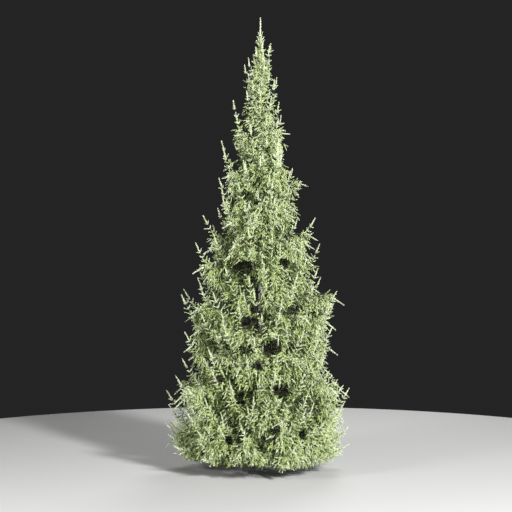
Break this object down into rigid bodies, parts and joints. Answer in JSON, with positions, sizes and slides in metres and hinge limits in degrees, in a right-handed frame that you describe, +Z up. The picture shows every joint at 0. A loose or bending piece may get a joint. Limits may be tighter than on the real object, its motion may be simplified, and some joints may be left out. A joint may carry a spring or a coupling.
{
  "type": "spruce tree",
  "caption": "Tall narrow spruce furnished to the ground: a straight tapering trunk, whorled boughs with upswept ends, and hanging curtains of needles, fixed in the ground by its foot.",
  "frame": {"origin": "middle of the flat cut under the trunk, at ground level", "axes": "+Z up the trunk; +X and +Y level, with the tree's fuller side towards -X and its front towards -Y"},
  "size_m": [4.8541, 4.6524, 12.24],
  "materials": {
    "bark": "rough grey-brown scaly bark",
    "foliage": "matte pale yellow-green needles, darker within"
  },
  "bodies": {
    "root": {"trunk": "bark", "bough_1_1": "bark", "bough_1_2": "bark", "bough_1_3": "bark", "bough_1_4": "bark", "bough_1_5": "bark", "bough_1_6": "bark", "bough_2_1": "bark", "bough_2_2": "bark", "bough_2_3": "bark", "bough_2_4": "bark", "bough_2_5": "bark", "bough_2_6": "bark", "bough_3_1": "bark", "bough_3_2": "bark", "bough_3_3": "bark", "bough_3_4": "bark", "bough_4_1": "bark", "bough_4_2": "bark", "bough_4_3": "bark", "bough_4_4": "bark", "foliage_1_1": "foliage", "foliage_1_2": "foliage", "foliage_1_3": "foliage", "foliage_1_4": "foliage", "foliage_1_5": "foliage", "foliage_1_6": "foliage", "foliage_2_1": "foliage", "foliage_2_2": "foliage", "foliage_2_3": "foliage", "foliage_2_4": "foliage", "foliage_2_5": "foliage", "foliage_2_6": "foliage", "foliage_3_1": "foliage", "foliage_3_2": "foliage", "foliage_3_3": "foliage", "foliage_3_4": "foliage", "foliage_4_1": "foliage", "foliage_4_2": "foliage", "foliage_4_3": "foliage", "foliage_4_4": "foliage", "foliage_5_1": "foliage", "foliage_5_2": "foliage", "foliage_5_3": "foliage", "foliage_5_4": "foliage", "foliage_6_1": "foliage", "foliage_6_2": "foliage", "foliage_6_3": "foliage", "foliage_6_4": "foliage", "foliage_7_1": "foliage", "foliage_7_2": "foliage", "foliage_7_3": "foliage", "foliage_7_4": "foliage", "foliage_8_1": "foliage", "foliage_8_2": "foliage", "foliage_8_3": "foliage", "foliage_9_1": "foliage", "foliage_9_2": "foliage", "foliage_9_3": "foliage", "foliage_top": "foliage"}
  },
  "joints": []
}
